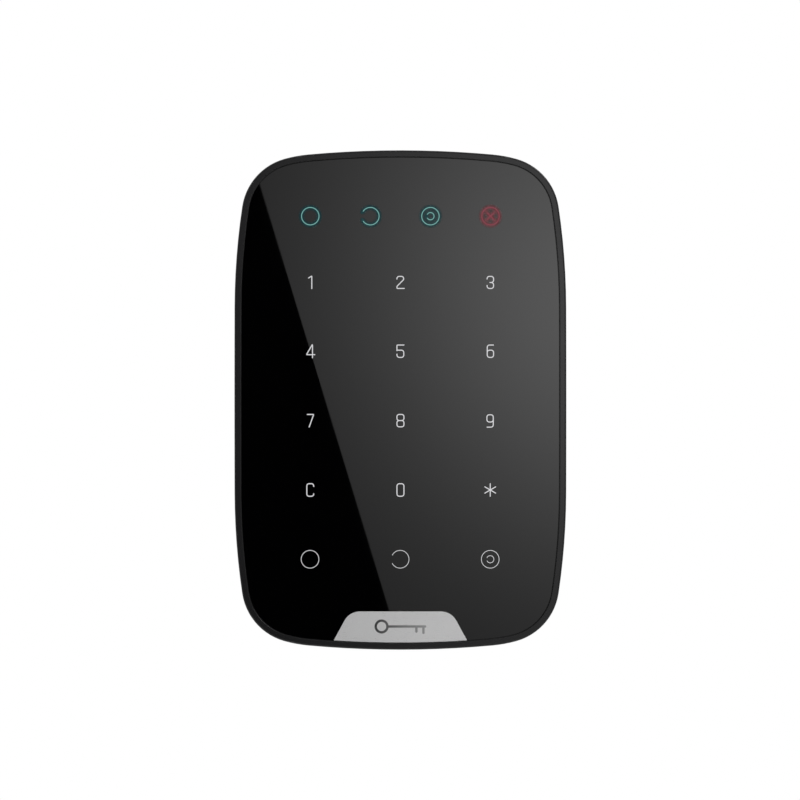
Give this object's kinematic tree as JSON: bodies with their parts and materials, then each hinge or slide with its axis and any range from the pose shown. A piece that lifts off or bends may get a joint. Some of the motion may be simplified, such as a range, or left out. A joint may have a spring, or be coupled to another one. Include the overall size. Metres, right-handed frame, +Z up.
{
  "type": "alarm keypad panel",
  "caption": "Wall-mounted wireless alarm keypad with a glossy touch panel in a slim rounded casing on a slide-off wall bracket.",
  "frame": {"origin": "on the wall, behind the middle of the keypad: the centre of the bracket's wall face", "axes": "+Z up the wall, +X to the right as the user sees it, +Y into the wall, so the front faces -Y"},
  "size_m": [0.0996, 0.014, 0.15],
  "materials": {
    "bezel_plastic": "dark grey, satin fine grain",
    "housing_plastic": "black, fine spark-eroded grain",
    "bracket_plastic": "black, moulded, satin",
    "panel_gloss": "black, polished",
    "badge_silver": "fine brushed",
    "screw_steel": "blackened zinc",
    "label_paper": "coated paper",
    "mesh_fabric": "woven acoustic mesh",
    "adhesive": "black foam tape",
    "film_white": "milky film",
    "board_mask": "green solder mask",
    "copper": "bare copper under mask",
    "lamp_white": "lamp body with clear lens",
    "chip_black": "moulded package",
    "tinned_steel": "bright tinned",
    "can_aluminium": "drawn can",
    "ferrite": "ferrite grey",
    "passives": "ceramic and film chips",
    "cradle_plastic": "black moulded",
    "cell_sleeve": "shrink sleeve with bare nub",
    "spring_steel": "nickel plated",
    "plunger_plastic": "natural acetal",
    "switch_black": "moulded switch body",
    "button_plastic": "grey moulded",
    "foam": "closed-cell foam"
  },
  "bodies": {
    "wall_bracket": {"mounting_bracket": "bracket_plastic"},
    "keypad": {"rear_housing": "housing_plastic", "front_bezel": "bezel_plastic", "housing_screws": "screw_steel", "rear_label": "label_paper", "sound_mesh": "mesh_fabric", "touch_panel": "panel_gloss", "badge_plate": "badge_silver", "panel_adhesive": "adhesive", "diffuser_film": "film_white", "touch_board": "board_mask", "touch_electrodes": "copper", "key_lamps": "lamp_white", "status_lamps": "lamp_white", "main_processor": "chip_black", "touch_controller": "chip_black", "power_regulator": "chip_black", "radio_chip": "chip_black", "radio_shield": "tinned_steel", "antennas": "tinned_steel", "crystal": "tinned_steel", "storage_capacitor": "can_aluminium", "power_inductor": "ferrite", "small_parts": "passives", "battery_cradle_right": "cradle_plastic", "battery_cradle_left": "cradle_plastic", "cradle_screws": "screw_steel", "battery_right_lower": "cell_sleeve", "battery_right_upper": "cell_sleeve", "battery_left_upper": "cell_sleeve", "battery_left_lower": "cell_sleeve", "end_contacts": "spring_steel", "link_contacts": "spring_steel", "contact_springs": "spring_steel", "tamper_spring": "spring_steel", "tamper_switch": "switch_black", "power_switch": "switch_black", "buzzer": "switch_black", "buzzer_gasket": "foam"},
    "tamper_button": {"tamper_plunger": "plunger_plastic", "tamper_switch_stem": "plunger_plastic"},
    "power_key": {"power_button": "button_plastic", "power_switch_stem": "plunger_plastic"}
  },
  "joints": [
    {"name": "keypad_slide", "type": "slide", "parent": "wall_bracket", "child": "keypad", "axis": [0, 0, 1], "range_m": [0, 0.008]},
    {"name": "tamper_press", "type": "slide", "parent": "keypad", "child": "tamper_button", "axis": [0, -1, 0], "range_m": [0, 0.0006], "stiffness_N_per_m": 400, "deforming": ["tamper_spring"]},
    {"name": "power_press", "type": "slide", "parent": "keypad", "child": "power_key", "axis": [0, -1, 0], "range_m": [0, 0.0005], "stiffness_N_per_m": 1500}
  ]
}
